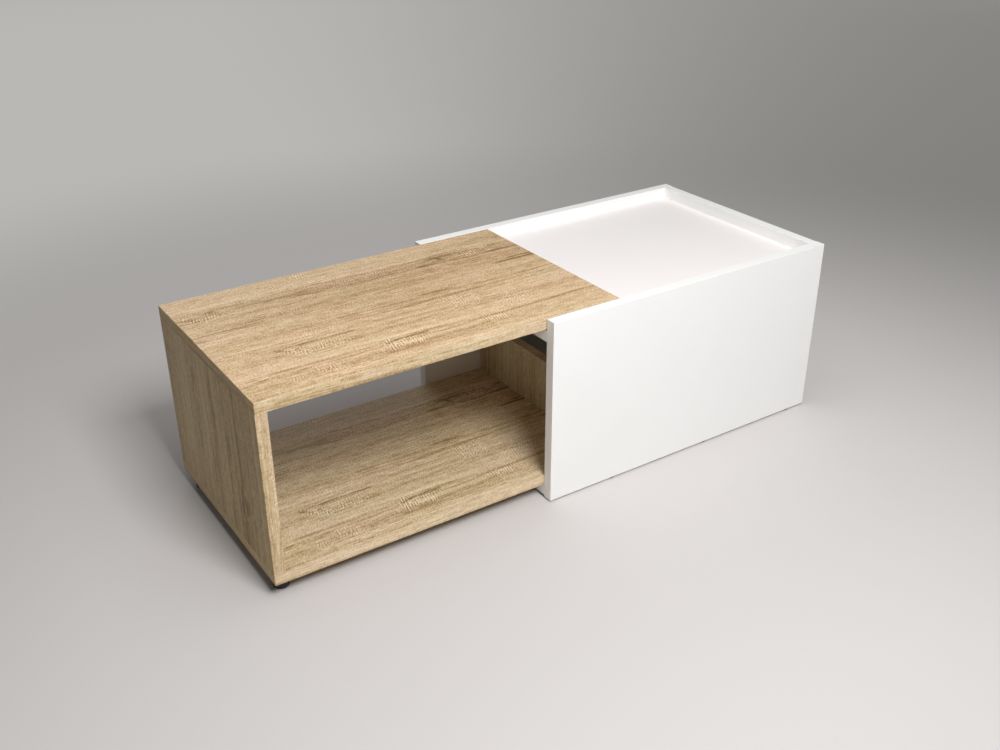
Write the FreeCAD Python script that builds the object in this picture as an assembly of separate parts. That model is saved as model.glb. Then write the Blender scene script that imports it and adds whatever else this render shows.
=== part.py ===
import FreeCAD, Part
import os

# Sliding top coffee table.  An oak-faced unit, open at the front and the back, stands on
# four feet.  A white sleeve with a shallow tray on top slides over it along X.
# Lengths are in millimetres.  +X runs from the oak unit to the sleeve, +Z is up, and the
# origin is on the floor, in the middle of the footprint of the open table.

Vector = FreeCAD.Vector
LEFT = Vector(-1, 0, 0)
RIGHT = Vector(1, 0, 0)
FRONT = Vector(0, -1, 0)
BACK = Vector(0, 1, 0)
UNDER = Vector(0, 0, -1)
OVER = Vector(0, 0, 1)

# Boards
board = 18.0                 # thickness of every board
edging = 1.0                 # thickness of the edge strips
arris = 0.5                  # rounding along the edge strips

# Oak unit
oak_length = 616.5
oak_depth = 383.0
oak_height = 300.0           # underside of the bottom board to the top face
upstand_height = 101.0       # low end board that stands on the bottom board

# Sleeve
sleeve_length = 595.0
rail_width = 109.5           # cross rail that joins the sleeve's sides under the oak unit
end_setback = 1.5            # the side panels run this far past the end panel

# Gaps between the two units
side_clearance = 1.5         # oak unit to sleeve, at the front and at the back
rail_gap = 1.0               # oak underside to the top of the cross rail
rail_floor_gap = 6.0         # cross rail to the floor
stop_gap = 0.5               # cross rail to the right feet when the table is open
pad_gap = 0.3                # felt pads to the tray floor

# Feet of the oak unit
foot_diameter = 25.0
foot_inset_x = 20.0          # foot's axis to the end of the oak unit
foot_inset_y = 31.0          # foot's axis to the front and to the back
foot_rounding = 1.5
foot_web = 7.0               # plastic between the screw's head and the board
foot_well_diameter = 13.0    # recess for the screw's head
foot_screw_diameter = 4.0
foot_screw_length = 19.0
foot_screw_head_diameter = 8.0
foot_screw_head_height = 2.4

# Glides under the sleeve
glide_height = 3.0
glide_diameter = 15.0
glide_rounding = 0.8
glide_margin = 22.0          # glide's axis to the cross rail, and to the end panel
nail_diameter = 1.8
nail_length = 15.0
nail_head_diameter = 4.0
nail_head_height = 0.8
nail_head_depth = 1.0        # glide's underside to the nail's head

# Felt pads under the oak top, and bumpers on the upstand
pad_diameter = 22.0
pad_thickness = 2.7
pad_inset_x = 24.0
pad_inset_y = 42.0
bumper_diameter = 10.0
bumper_thickness = 2.0
bumper_inset_y = 70.0

# Dowels
dowel_diameter = 8.0
dowel_length = 30.0
dowel_in_face = 11.0         # part of the dowel that sits in the face of a board
dowel_chamfer = 0.8
dowel_offset = 32.0          # dowel to the next cam or screw

# Cam fittings: a bolt in the face of one board, a cam in the face of the other
cam_diameter = 15.0
cam_setback = 34.0           # cam's axis to the joint
cam_below_axis = 4.5         # how far the cam reaches past the bolt's axis
cam_recess = 0.3             # board's face to the cam's face
cam_slot_width = 1.4
cam_slot_length = 9.0
cam_slot_depth = 3.0
bolt_thread_diameter = 5.0
bolt_thread_length = 11.0
bolt_shank_diameter = 7.0
bolt_neck_diameter = 3.6
bolt_head_diameter = 5.6
bolt_head_length = 2.6
cap_diameter = 17.0
cap_thickness = 1.2
cap_peg_diameter = 4.0
cap_peg_length = 2.2

# Screws that hold the upstand, from under the bottom board
upstand_screw_length = 50.0
upstand_screw_head_diameter = 10.0
upstand_screw_head_height = 3.0
upstand_screw_shank_diameter = 7.0
upstand_screw_thread_diameter = 5.0

# Distance of the outermost fitting from the end of its joint
end_fitting_inset = 50.0     # top and bottom boards to the left end board
upstand_fitting_inset = 82.0
sleeve_end_fitting_inset = 45.0
tray_fitting_inset = 60.0

# Clearances around the fittings
fit = 0.05                   # a dowel, thread, cam or peg in its hole, all round
loose_fit = 0.5              # a shank in the hole that it passes through, all round
strip_gap = 0.05             # between two edge strips at the corner of a board
hole_end_gap = 1.0           # past the end of a dowel, screw, bolt or nail

# Heights
foot_height = rail_gap + board + rail_floor_gap
oak_underside = foot_height
oak_floor = oak_underside + board
oak_table = oak_underside + oak_height
oak_ceiling = oak_table - board
tray_surface = oak_ceiling - pad_thickness - pad_gap
tray_underside = tray_surface - board
rail_top = oak_underside - rail_gap
rail_underside = rail_top - board

# Places along X.  When the table is open, the cross rail stops at the right feet.
sleeve_offset = oak_length - foot_inset_x - foot_diameter / 2 - stop_gap - rail_width
open_length = sleeve_offset + sleeve_length
oak_left = -open_length / 2
oak_right = oak_left + oak_length
sleeve_left = oak_left + sleeve_offset
sleeve_right = sleeve_left + sleeve_length
end_outside = sleeve_right - end_setback
end_inside = end_outside - board
rail_right = sleeve_left + rail_width

# Places along Y
oak_front = -oak_depth / 2
oak_back = oak_depth / 2
sleeve_inner_front = oak_front - side_clearance
sleeve_inner_back = oak_back + side_clearance
sleeve_front_face = sleeve_inner_front - board
sleeve_back_face = sleeve_inner_back + board


def box(low, high):
    """Box between two opposite corners."""
    size = high - low
    return Part.makeBox(size.x, size.y, size.z, low)


def rod(start, direction, diameter, length):
    """Cylinder that begins at start and runs along direction."""
    return Part.makeCylinder(diameter / 2, length, start, direction)


def cone(start, direction, start_diameter, end_diameter, length):
    """Cone that begins at start and runs along direction."""
    return Part.makeCone(start_diameter / 2, end_diameter / 2, length, start, direction)


def fused(first, *others):
    """One solid out of several that touch or overlap."""
    return first.fuse(list(others)).removeSplitter().Solids[0]


def rims(shape, centre):
    """The circular edges of a shape that lie around a point."""
    circles = [edge for edge in shape.Edges if isinstance(edge.Curve, Part.Circle)]
    return [circle for circle in circles if circle.Curve.Center.isEqual(centre, edging / 1000)]


def edged_board(low, high, edged):
    """Board between two corners, with an edge strip on each side that edged names.

    Returns the board's core and its strips.  The strips' outer corners are rounded,
    except where the board butts against another one.
    """
    size = high - low
    middle = (low + high) / 2
    thinnest = min(size.x, size.y, size.z)

    def reach(side):
        return abs(side.dot(size))

    def on_side(edge, side):
        return abs((edge.CenterOfMass - middle).dot(side) - reach(side) / 2) < arris / 1000

    def is_rounded(edge):
        meeting = [side for side in (LEFT, RIGHT, FRONT, BACK, UNDER, OVER) if on_side(edge, side)]
        stripped = [side for side in meeting if side in edged]
        open_to_view = [side for side in meeting if side in edged or reach(side) == thinnest]
        return len(stripped) > 0 and len(open_to_view) == len(meeting)

    def outer_layer(side, thickness):
        shift = side * (reach(side) - thickness)
        return box(low + shift, high + shift)

    whole = box(low, high)
    core = whole.makeFillet(arris, [edge for edge in whole.Edges if is_rounded(edge)])
    strips = []
    for number, side in enumerate(edged):
        strip = core.common(outer_layer(side, edging))
        core = core.cut(outer_layer(side, edging)).Solids[0]
        for earlier in edged[:number]:
            strip = strip.cut(outer_layer(earlier, edging + strip_gap))
        strips.append(strip.Solids[0])
    return core, strips


# Boards

def oak_top():
    low = Vector(oak_left, oak_front, oak_ceiling)
    high = Vector(oak_right, oak_back, oak_table)
    return edged_board(low, high, [FRONT, BACK, LEFT, RIGHT])


def oak_bottom():
    low = Vector(oak_left, oak_front, oak_underside)
    high = Vector(oak_right, oak_back, oak_floor)
    return edged_board(low, high, [FRONT, BACK, LEFT, RIGHT])


def oak_left_end():
    low = Vector(oak_left, oak_front, oak_floor)
    high = Vector(oak_left + board, oak_back, oak_ceiling)
    return edged_board(low, high, [FRONT, BACK])


def oak_upstand():
    low = Vector(oak_right - board, oak_front, oak_floor)
    high = Vector(oak_right, oak_back, oak_floor + upstand_height)
    return edged_board(low, high, [FRONT, BACK, OVER])


def sleeve_side(outer_face, inner_face):
    low = Vector(sleeve_left, min(outer_face, inner_face), glide_height)
    high = Vector(sleeve_right, max(outer_face, inner_face), oak_table)
    return edged_board(low, high, [LEFT, RIGHT, OVER, UNDER])


def sleeve_end():
    low = Vector(end_inside, sleeve_inner_front, glide_height)
    high = Vector(end_outside, sleeve_inner_back, oak_table)
    return edged_board(low, high, [OVER, UNDER])


def tray_floor():
    low = Vector(sleeve_left, sleeve_inner_front, tray_underside)
    high = Vector(end_inside, sleeve_inner_back, tray_surface)
    return edged_board(low, high, [LEFT])


def cross_rail():
    low = Vector(sleeve_left, sleeve_inner_front, rail_underside)
    high = Vector(rail_right, sleeve_inner_back, rail_top)
    return edged_board(low, high, [LEFT, RIGHT])


# Dowels.  point is where the dowel's axis crosses the joint, and into is the direction
# into the edge of the board that butts against the other one.

def dowel(point, into):
    start = point - into * dowel_in_face
    end = start + into * dowel_length
    body = rod(start, into, dowel_diameter, dowel_length)
    return body.makeChamfer(dowel_chamfer, rims(body, start) + rims(body, end))


def dowel_hole(point, into):
    start = point - into * (dowel_in_face + hole_end_gap)
    return rod(start, into, dowel_diameter + 2 * fit, dowel_length + 2 * hole_end_gap)


# Cam fittings, placed like the dowels.  out is the direction that the cam's face looks in.

def cam_bolt(point, into):
    shank_end = cam_setback - cam_diameter / 2 - hole_end_gap
    head_start = cam_setback - bolt_head_length / 2
    thread = rod(point - into * bolt_thread_length, into, bolt_thread_diameter, bolt_thread_length)
    shank = rod(point, into, bolt_shank_diameter, shank_end)
    neck = rod(point + into * shank_end, into, bolt_neck_diameter, head_start - shank_end)
    head = rod(point + into * head_start, into, bolt_head_diameter, bolt_head_length)
    return fused(thread, shank, neck, head)


def cam(point, into, out):
    centre = point + into * cam_setback
    face = centre + out * (board / 2 - cam_recess)
    across = into.cross(out)
    body = rod(face, out * -1, cam_diameter, board / 2 - cam_recess + cam_below_axis)
    neck_way = rod(centre, into * -1, bolt_neck_diameter + 2 * fit, cam_diameter)
    head_start = centre - into * (bolt_head_length / 2 + fit)
    head_pocket = rod(head_start, into, bolt_head_diameter + 2 * fit, bolt_head_length + 2 * fit)
    peg_hole_depth = cap_peg_length + hole_end_gap - cam_recess
    peg_hole = rod(face, out * -1, cap_peg_diameter + 2 * fit, peg_hole_depth)
    slots = []
    for along, beside in ((into, across), (across, into)):
        half = along * (cam_slot_length / 2) + beside * (cam_slot_width / 2)
        corners = (face - half - out * cam_slot_depth, face + half)
        low = Vector(*[min(pair) for pair in zip(*corners)])
        high = Vector(*[max(pair) for pair in zip(*corners)])
        slots.append(box(low, high))
    return body.cut([neck_way, head_pocket, peg_hole] + slots).Solids[0]


def cam_holes(point, into, out):
    centre = point + into * cam_setback
    face = centre + out * (board / 2)
    thread_start = point - into * (bolt_thread_length + hole_end_gap)
    thread = rod(thread_start, into, bolt_thread_diameter + 2 * fit, bolt_thread_length + hole_end_gap)
    shank = rod(point, into, bolt_shank_diameter + 2 * loose_fit, cam_setback)
    housing = rod(face, out * -1, cam_diameter + 2 * fit, board / 2 + cam_below_axis)
    return [thread, shank, housing]


def cam_cap(point, into, out):
    face = point + into * cam_setback + out * (board / 2)
    disc = rod(face, out, cap_diameter, cap_thickness)
    peg = rod(face, out * -1, cap_peg_diameter, cap_peg_length)
    return fused(disc, peg)


def joint_places(start, along, length, inset):
    """Places of two cams or screws, and of the dowels beside them, along a joint."""
    fittings = [start + along * inset, start + along * (length - inset)]
    dowels = [fittings[0] + along * dowel_offset, fittings[1] - along * dowel_offset]
    return fittings, dowels


class Joints:
    """The dowels and cam fittings of several joints, and the holes they sit in."""

    def __init__(self):
        self.dowels = []
        self.bolts = []
        self.cams = []
        self.caps = []
        self.holes = []

    def add_dowels(self, points, into):
        for point in points:
            self.dowels.append(dowel(point, into))
            self.holes.append(dowel_hole(point, into))

    def add_cams(self, points, into, out):
        for point in points:
            self.bolts.append(cam_bolt(point, into))
            self.cams.append(cam(point, into, out))
            self.caps.append(cam_cap(point, into, out))
            self.holes.extend(cam_holes(point, into, out))


def left_end_joints():
    """Top board and bottom board to the left end board, with the cams inside the unit."""
    joints = Joints()
    middle = oak_left + board / 2
    for height, into in ((oak_ceiling, UNDER), (oak_floor, OVER)):
        start = Vector(middle, oak_front, height)
        cams, dowels = joint_places(start, BACK, oak_depth, end_fitting_inset)
        joints.add_cams(cams, into, RIGHT)
        joints.add_dowels(dowels, into)
    return joints


def sleeve_end_joints():
    """Side panels to the end panel, below the tray."""
    joints = Joints()
    middle = end_inside + board / 2
    height = tray_underside - glide_height
    for side, into in ((sleeve_inner_front, BACK), (sleeve_inner_back, FRONT)):
        start = Vector(middle, side, glide_height)
        cams, dowels = joint_places(start, OVER, height, sleeve_end_fitting_inset)
        joints.add_cams(cams, into, LEFT)
        joints.add_dowels(dowels, into)
    return joints


def tray_joints():
    """Side panels and end panel to the tray floor."""
    joints = Joints()
    middle = tray_underside + board / 2
    length = end_inside - sleeve_left
    width = sleeve_inner_back - sleeve_inner_front
    for side, into in ((sleeve_inner_front, BACK), (sleeve_inner_back, FRONT)):
        start = Vector(sleeve_left, side, middle)
        cams, dowels = joint_places(start, RIGHT, length, tray_fitting_inset)
        joints.add_cams(cams, into, UNDER)
        joints.add_dowels(dowels + [start + RIGHT * (length / 2)], into)
    start = Vector(end_inside, sleeve_inner_front, middle)
    cams, dowels = joint_places(start, BACK, width, tray_fitting_inset)
    joints.add_cams(cams, LEFT, UNDER)
    joints.add_dowels(dowels, LEFT)
    return joints


def rail_joints():
    """Side panels to the cross rail: one cam between two dowels at each end."""
    joints = Joints()
    middle = rail_underside + board / 2
    for side, into in ((sleeve_inner_front, BACK), (sleeve_inner_back, FRONT)):
        centre = Vector(sleeve_left + rail_width / 2, side, middle)
        joints.add_cams([centre], into, UNDER)
        joints.add_dowels([centre + LEFT * dowel_offset, centre + RIGHT * dowel_offset], into)
    return joints


# Upstand on the bottom board

def upstand_places():
    start = Vector(oak_right - board / 2, oak_front, oak_floor)
    screws, dowels = joint_places(start, BACK, oak_depth, upstand_fitting_inset)
    return screws + [start + BACK * (oak_depth / 2)], dowels


def upstand_screw(point):
    """Countersunk screw, flush with the underside of the bottom board."""
    start = point + UNDER * board
    neck = start + OVER * upstand_screw_head_height
    tip = upstand_screw_length - board
    head = cone(
        start, OVER, upstand_screw_head_diameter, upstand_screw_shank_diameter, upstand_screw_head_height
    )
    shank = rod(neck, OVER, upstand_screw_shank_diameter, board - upstand_screw_head_height)
    thread = rod(point, OVER, upstand_screw_thread_diameter, tip)
    return fused(head, shank, thread)


def upstand_screw_hole(point):
    start = point + UNDER * board
    countersink = cone(
        start,
        OVER,
        upstand_screw_head_diameter + 2 * fit,
        upstand_screw_shank_diameter + 2 * fit,
        upstand_screw_head_height,
    )
    shank = rod(start, OVER, upstand_screw_shank_diameter + 2 * fit, board)
    thread_depth = upstand_screw_length - board + hole_end_gap
    thread = rod(point, OVER, upstand_screw_thread_diameter + 2 * fit, thread_depth)
    return [countersink, shank, thread]


# Feet

def foot_places():
    """Middle of the top of each foot, by name."""
    places = {}
    columns = (("left", oak_left + foot_inset_x), ("right", oak_right - foot_inset_x))
    rows = (("front", oak_front + foot_inset_y), ("back", oak_back - foot_inset_y))
    for row_name, y in rows:
        for column_name, x in columns:
            places["foot_" + row_name + "_" + column_name] = Vector(x, y, oak_underside)
    return places


def foot(top):
    """Round foot with a deep well for the screw that holds it."""
    base = top + UNDER * foot_height
    body = rod(base, OVER, foot_diameter, foot_height)
    body = body.makeFillet(foot_rounding, rims(body, base))
    well = rod(base, OVER, foot_well_diameter, foot_height - foot_web)
    screw_way = rod(base, OVER, foot_screw_diameter + 2 * fit, foot_height)
    return body.cut([well, screw_way])


def foot_screw(top):
    seat = top + UNDER * foot_web
    head = rod(seat, UNDER, foot_screw_head_diameter, foot_screw_head_height)
    shank = rod(seat, OVER, foot_screw_diameter, foot_screw_length)
    return fused(head, shank)


def foot_screw_hole(top):
    depth = foot_screw_length - foot_web + hole_end_gap
    return rod(top, OVER, foot_screw_diameter + 2 * fit, depth)


# Glides under the sleeve

def glide_places():
    """Middle of the top of each glide: three under each side panel, one under the end panel."""
    first = rail_right + glide_margin
    last = end_inside - glide_margin
    places = []
    for y in (sleeve_inner_front - board / 2, sleeve_inner_back + board / 2):
        for x in (first, (first + last) / 2, last):
            places.append(Vector(x, y, glide_height))
    places.append(Vector(end_inside + board / 2, 0, glide_height))
    return places


def glide(top):
    base = top + UNDER * glide_height
    body = rod(base, OVER, glide_diameter, glide_height)
    body = body.makeFillet(glide_rounding, rims(body, base))
    head_well = rod(base, OVER, nail_head_diameter + 2 * fit, nail_head_depth + nail_head_height)
    nail_way = rod(base, OVER, nail_diameter + 2 * fit, glide_height)
    return body.cut([head_well, nail_way])


def nail(top):
    start = top + UNDER * (glide_height - nail_head_depth)
    head = rod(start, OVER, nail_head_diameter, nail_head_height)
    shank = rod(start, OVER, nail_diameter, nail_length)
    return fused(head, shank)


def nail_hole(top):
    depth = nail_length - glide_height + nail_head_depth + hole_end_gap
    return rod(top, OVER, nail_diameter + 2 * fit, depth)


# Felt pads and bumpers

def glide_pads():
    """Felt pads under the free end of the oak top, which ride on the tray floor."""
    x = oak_right - pad_inset_x
    rows = (oak_front + pad_inset_y, 0, oak_back - pad_inset_y)
    return [rod(Vector(x, y, oak_ceiling), UNDER, pad_diameter, pad_thickness) for y in rows]


def closing_bumpers():
    """Soft bumpers on the upstand, which the end panel meets when the table closes."""
    z = oak_floor + upstand_height / 2
    rows = (oak_front + bumper_inset_y, oak_back - bumper_inset_y)
    return [rod(Vector(oak_right, y, z), RIGHT, bumper_diameter, bumper_thickness) for y in rows]


def add_boards(nodes, boards, holes):
    """Drills each board and its edge strips, and names them."""
    for name, (core, strips) in boards.items():
        nodes[name] = core.cut(holes)
        nodes[name + "_edging"] = Part.makeCompound([strip.cut(holes) for strip in strips])


def oak_unit():
    nodes = {}
    left_end = left_end_joints()
    screw_places, upstand_dowel_places = upstand_places()
    upstand = Joints()
    upstand.add_dowels(upstand_dowel_places, OVER)
    feet = foot_places()
    holes = left_end.holes + upstand.holes
    for place in screw_places:
        holes.extend(upstand_screw_hole(place))
    for place in feet.values():
        holes.append(foot_screw_hole(place))
    boards = {
        "oak_top": oak_top(),
        "oak_bottom": oak_bottom(),
        "oak_left_end": oak_left_end(),
        "oak_upstand": oak_upstand(),
    }
    add_boards(nodes, boards, holes)
    nodes["left_end_dowels"] = Part.makeCompound(left_end.dowels)
    nodes["left_end_cam_bolts"] = Part.makeCompound(left_end.bolts)
    nodes["left_end_cams"] = Part.makeCompound(left_end.cams)
    nodes["left_end_cam_caps"] = Part.makeCompound(left_end.caps)
    nodes["upstand_dowels"] = Part.makeCompound(upstand.dowels)
    nodes["upstand_screws"] = Part.makeCompound([upstand_screw(place) for place in screw_places])
    for name, place in feet.items():
        nodes[name] = foot(place)
    nodes["foot_screws"] = Part.makeCompound([foot_screw(place) for place in feet.values()])
    nodes["top_glide_pads"] = Part.makeCompound(glide_pads())
    nodes["closing_bumpers"] = Part.makeCompound(closing_bumpers())
    return nodes


def sleeve():
    nodes = {}
    joints = {
        "sleeve_end": sleeve_end_joints(),
        "tray": tray_joints(),
        "rail": rail_joints(),
    }
    glides = glide_places()
    holes = [nail_hole(place) for place in glides]
    for made in joints.values():
        holes.extend(made.holes)
    boards = {
        "sleeve_front": sleeve_side(sleeve_front_face, sleeve_inner_front),
        "sleeve_back": sleeve_side(sleeve_back_face, sleeve_inner_back),
        "sleeve_end": sleeve_end(),
        "tray_floor": tray_floor(),
        "cross_rail": cross_rail(),
    }
    add_boards(nodes, boards, holes)
    for name, made in joints.items():
        nodes[name + "_dowels"] = Part.makeCompound(made.dowels)
        nodes[name + "_cam_bolts"] = Part.makeCompound(made.bolts)
        nodes[name + "_cams"] = Part.makeCompound(made.cams)
    nodes["sleeve_glides"] = Part.makeCompound([glide(place) for place in glides])
    nodes["sleeve_glide_nails"] = Part.makeCompound([nail(place) for place in glides])
    return nodes


os.makedirs("parts", exist_ok=True)
for node_name, shape in {**oak_unit(), **sleeve()}.items():
    shape.exportStep("parts/" + node_name + ".step")
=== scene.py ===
import math
from typing import NamedTuple
import bmesh
import bpy
from mathutils import Matrix, Vector


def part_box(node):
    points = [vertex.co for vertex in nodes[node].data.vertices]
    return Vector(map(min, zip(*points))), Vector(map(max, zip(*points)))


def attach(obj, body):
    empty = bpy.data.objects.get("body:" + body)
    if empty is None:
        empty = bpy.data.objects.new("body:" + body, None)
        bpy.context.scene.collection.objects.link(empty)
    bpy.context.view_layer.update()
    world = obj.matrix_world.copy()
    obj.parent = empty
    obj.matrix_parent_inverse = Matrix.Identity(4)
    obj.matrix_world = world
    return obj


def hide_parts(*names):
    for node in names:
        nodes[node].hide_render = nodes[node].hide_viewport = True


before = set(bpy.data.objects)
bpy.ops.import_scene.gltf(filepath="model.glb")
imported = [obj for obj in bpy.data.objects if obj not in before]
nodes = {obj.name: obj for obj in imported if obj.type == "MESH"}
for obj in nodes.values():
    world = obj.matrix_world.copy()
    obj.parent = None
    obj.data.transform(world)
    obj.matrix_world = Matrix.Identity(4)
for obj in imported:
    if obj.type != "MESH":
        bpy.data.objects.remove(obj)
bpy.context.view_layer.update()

# Looks of a sliding top coffee table: an oak decor unit on black feet, and a white sleeve
# with a tray top that slides over it.  Lengths are in metres, in the frame's own axes.


# Node wiring, for materials and for shapes

class Value:
    """A number, colour or vector on its way through the nodes of a wiring.

    Sums, products and the like on numbers add Math nodes.
    """

    def __init__(self, wiring, socket):
        self.wiring = wiring
        self.socket = socket

    def maths(self, operation, *others):
        terms = dict(enumerate((self,) + others))
        return self.wiring.add("ShaderNodeMath", {"operation": operation}, terms)

    def __add__(self, other):
        return self.maths("ADD", other)

    __radd__ = __add__

    def __sub__(self, other):
        return self.maths("SUBTRACT", other)

    def __rsub__(self, other):
        return (self * -1.0).maths("ADD", other)

    def __mul__(self, other):
        return self.maths("MULTIPLY", other)

    __rmul__ = __mul__

    def __truediv__(self, other):
        return self.maths("DIVIDE", other)

    def __abs__(self):
        return self.maths("ABSOLUTE")


class Wiring:
    """A node tree under way.  add() puts in one node and fills or joins its sockets."""

    def __init__(self, tree):
        self.tree = tree

    def add(self, kind, settings=(), sockets=(), output=0):
        """One node of a kind: its settings first, then values or links for its sockets."""
        node = self.tree.nodes.new(kind)
        for name, setting in dict(settings).items():
            if name == "stops":
                self.place_stops(node.color_ramp, setting)
            else:
                setattr(node, name, setting)
        for name, given in dict(sockets).items():
            if isinstance(given, Value):
                self.tree.links.new(given.socket, node.inputs[name])
            else:
                node.inputs[name].default_value = given
        return Value(self, node.outputs[output] if len(node.outputs) else None)

    def place_stops(self, ramp, stops):
        """Colour stops of a ramp, from (place, colour) pairs in rising order."""
        while len(ramp.elements) < len(stops):
            ramp.elements.new(1.0)
        for element, (place, colour) in zip(ramp.elements, stops):
            element.position = place
            element.color = (*colour, 1.0)

    def split(self, vector):
        """The three coordinates of a vector."""
        node = self.add("ShaderNodeSeparateXYZ", sockets={"Vector": vector}).socket.node
        return [Value(self, node.outputs[axis]) for axis in ("X", "Y", "Z")]

    def vector(self, x, y, z=0.0):
        return self.add("ShaderNodeCombineXYZ", sockets={"X": x, "Y": y, "Z": z})

    def noise(self, where, scale=1.0, detail=2.0, roughness=0.5, flat=True):
        """Noise from 0 to 1.  flat noise ignores the third coordinate."""
        settings = {"noise_dimensions": "2D" if flat else "3D"}
        sockets = {"Vector": where, "Scale": scale, "Detail": detail, "Roughness": roughness}
        return self.add("ShaderNodeTexNoise", settings, sockets)

    def rise(self, value, start, end):
        """Smooth step: 0 before start, 1 after end."""
        settings = {"interpolation_type": "SMOOTHSTEP"}
        sockets = {"Value": value, "From Min": start, "From Max": end}
        return self.add("ShaderNodeMapRange", settings, sockets)


class Finish(Wiring):
    """A material under way."""

    def __init__(self, name):
        self.material = bpy.data.materials.new(name)
        self.material.use_nodes = True
        self.material.node_tree.nodes.clear()
        super().__init__(self.material.node_tree)

    def surface(self, **sockets):
        """The surface shader and the material's output.  Underscores stand for spaces."""
        named = {name.replace("_", " "): given for name, given in sockets.items()}
        shader = self.add("ShaderNodeBsdfPrincipled", sockets=named)
        self.add("ShaderNodeOutputMaterial", sockets={"Surface": shader})
        return self.material

    def point(self):
        """A point of the object, in metres."""
        return self.add("ShaderNodeTexCoord", output="Object")

    def place(self):
        """The three coordinates of a point of the object, in metres."""
        return self.split(self.point())

    def turned_point(self):
        """A point of a turned fitting, with its third coordinate along the fitting."""
        settings = {"attribute_name": "turned_place"}
        return self.add("ShaderNodeAttribute", settings, output="Vector")

    def blend(self, first, second, share, mode="MIX"):
        """Two colours mixed by a share from 0 to 1."""
        settings = {"data_type": "RGBA", "blend_type": mode}
        sockets = {0: share}
        for number, colour in ((6, first), (7, second)):
            sockets[number] = colour if isinstance(colour, Value) else (*colour, 1.0)
        return self.add("ShaderNodeMix", settings, sockets, output=2)

    def bump(self, height, depth):
        """Normal that shows a height as relief.  A height of 1 stands up by depth, in metres."""
        return self.add("ShaderNodeBump", sockets={"Height": height, "Distance": depth})


def dress(material, *names):
    """Puts a material on all of these CAD nodes."""
    for name in names:
        slots = nodes[name].data.materials
        slots.clear()
        slots.append(material)


# Oak decor: a printed sheet.  Places on it are along and across the grain.

OAK_TONES = (
    (0.00, (0.205, 0.118, 0.038)),
    (0.25, (0.415, 0.271, 0.124)),
    (0.50, (0.612, 0.434, 0.264)),
    (0.75, (0.750, 0.576, 0.380)),
    (1.00, (0.885, 0.728, 0.520)),
)
OAK_SHEEN = 0.28
OAK_ROUGHNESS = 0.50
FIBRE_ROUGHNESS = 0.30
OAK_RELIEF = 0.00006
MIDDLE = 0.5


class Grain(NamedTuple):
    """Noise in the print: its waves in a metre along and across the grain, and how strong it is."""
    along: float
    across: float
    depth: float = 1.0
    detail: float = 1.0


# The grain: the slow sways of its lines, then bands, fibres, pores and veins

SWAYS = (
    Grain(1.3, 7.0, 0.012),
    Grain(7.0, 30.0, 0.0035),
)
BROAD_BANDS = Grain(0.8, 15.0, 0.42)
NARROW_BANDS = (
    Grain(1.3, 44.0, 0.37),
    Grain(2.0, 130.0, 0.26),
    Grain(5.0, 360.0, 0.40),
)
FIBRES = Grain(32.0, 900.0, 0.66)
CLOUDS = Grain(60.0, 90.0, 0.26, detail=2.0)
PORES = Grain(150.0, 2200.0, 0.16, detail=0.0)
PORE_EDGE = (0.10, 0.26)
VEINS = Grain(1.1, 34.0, 0.24)
VEIN_HALF = 0.030
VEIN_PLACES = Grain(3.0, 22.0)
VEIN_PLACE_EDGE = (-0.02, 0.12)

# Knots

KNOT_FIGURE = Grain(30.0, 160.0, 0.6, detail=2.0)
KNOT_PINCH = 0.75
KNOT_DARKNESS = 0.05

# Dark streaks, whose sides are in widths of the streak

STREAK_BREAKS = Grain(22.0, 420.0, 2.6, detail=2.0)
STREAK_BODY = 0.85
STREAK_CRISP_SIDE = 0.8
STREAK_SOFT_SIDE = 2.4

# Saw marks: the sawn places with their ragged edges, the strokes there, and scratches all over

RAGGED = Grain(45.0, 60.0, detail=2.0)
RAGGED_SPREAD = 0.5
RAGGED_ALONG = 0.06
RAGGED_ACROSS = 0.05
SAWN_PLACES = Grain(7.0, 13.0, 0.50)
SAWN_EDGE = (0.08, 0.34)
SAWN_PALENESS = 0.03
PATCH_FULL = 0.2
PATCH_FADE = 0.3

STROKE_SPACING = 0.0048
STROKE_TURNS = 2 * math.pi / STROKE_SPACING
STROKE_LEAN = 0.22
STROKE_SWAY = Grain(30.0, 26.0, 0.005, detail=2.0)
STROKE_EDGE = (0.35, 1.0)
STROKE_MEAN = 0.16
STROKE_GAPS = Grain(120.0, 30.0)
STROKE_GAP_EDGE = (-0.34, 0.16)
STROKE_DEPTH = 0.64
SCRATCHES = Grain(400.0, 170.0, 0.62, detail=2.0)
SCRATCH_LEAN = 0.45
SCRATCHES_WHERE_SAWN = 0.70

# Faint changes of hue

BLUSHES = Grain(5.0, 16.0)
BLUSH_EDGE = (-0.15, 0.15)
GREENISH = (0.995, 1.005, 0.985)
PINKISH = (1.012, 0.985, 1.0)


class Streak(NamedTuple):
    """A dark line along the grain: crisp on one side, soft on the other."""
    start: float
    end: float
    across: float
    width: float
    depth: float
    slope: float = 0.0


class Patch(NamedTuple):
    """A place where the saw left pale strokes across the grain."""
    along: float
    across: float
    length: float
    width: float
    depth: float


class Knot(NamedTuple):
    """A place that the grain flows round."""
    along: float
    across: float
    length: float
    width: float


# Marks on the sheet of the long boards, and on that of the upright ones

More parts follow.
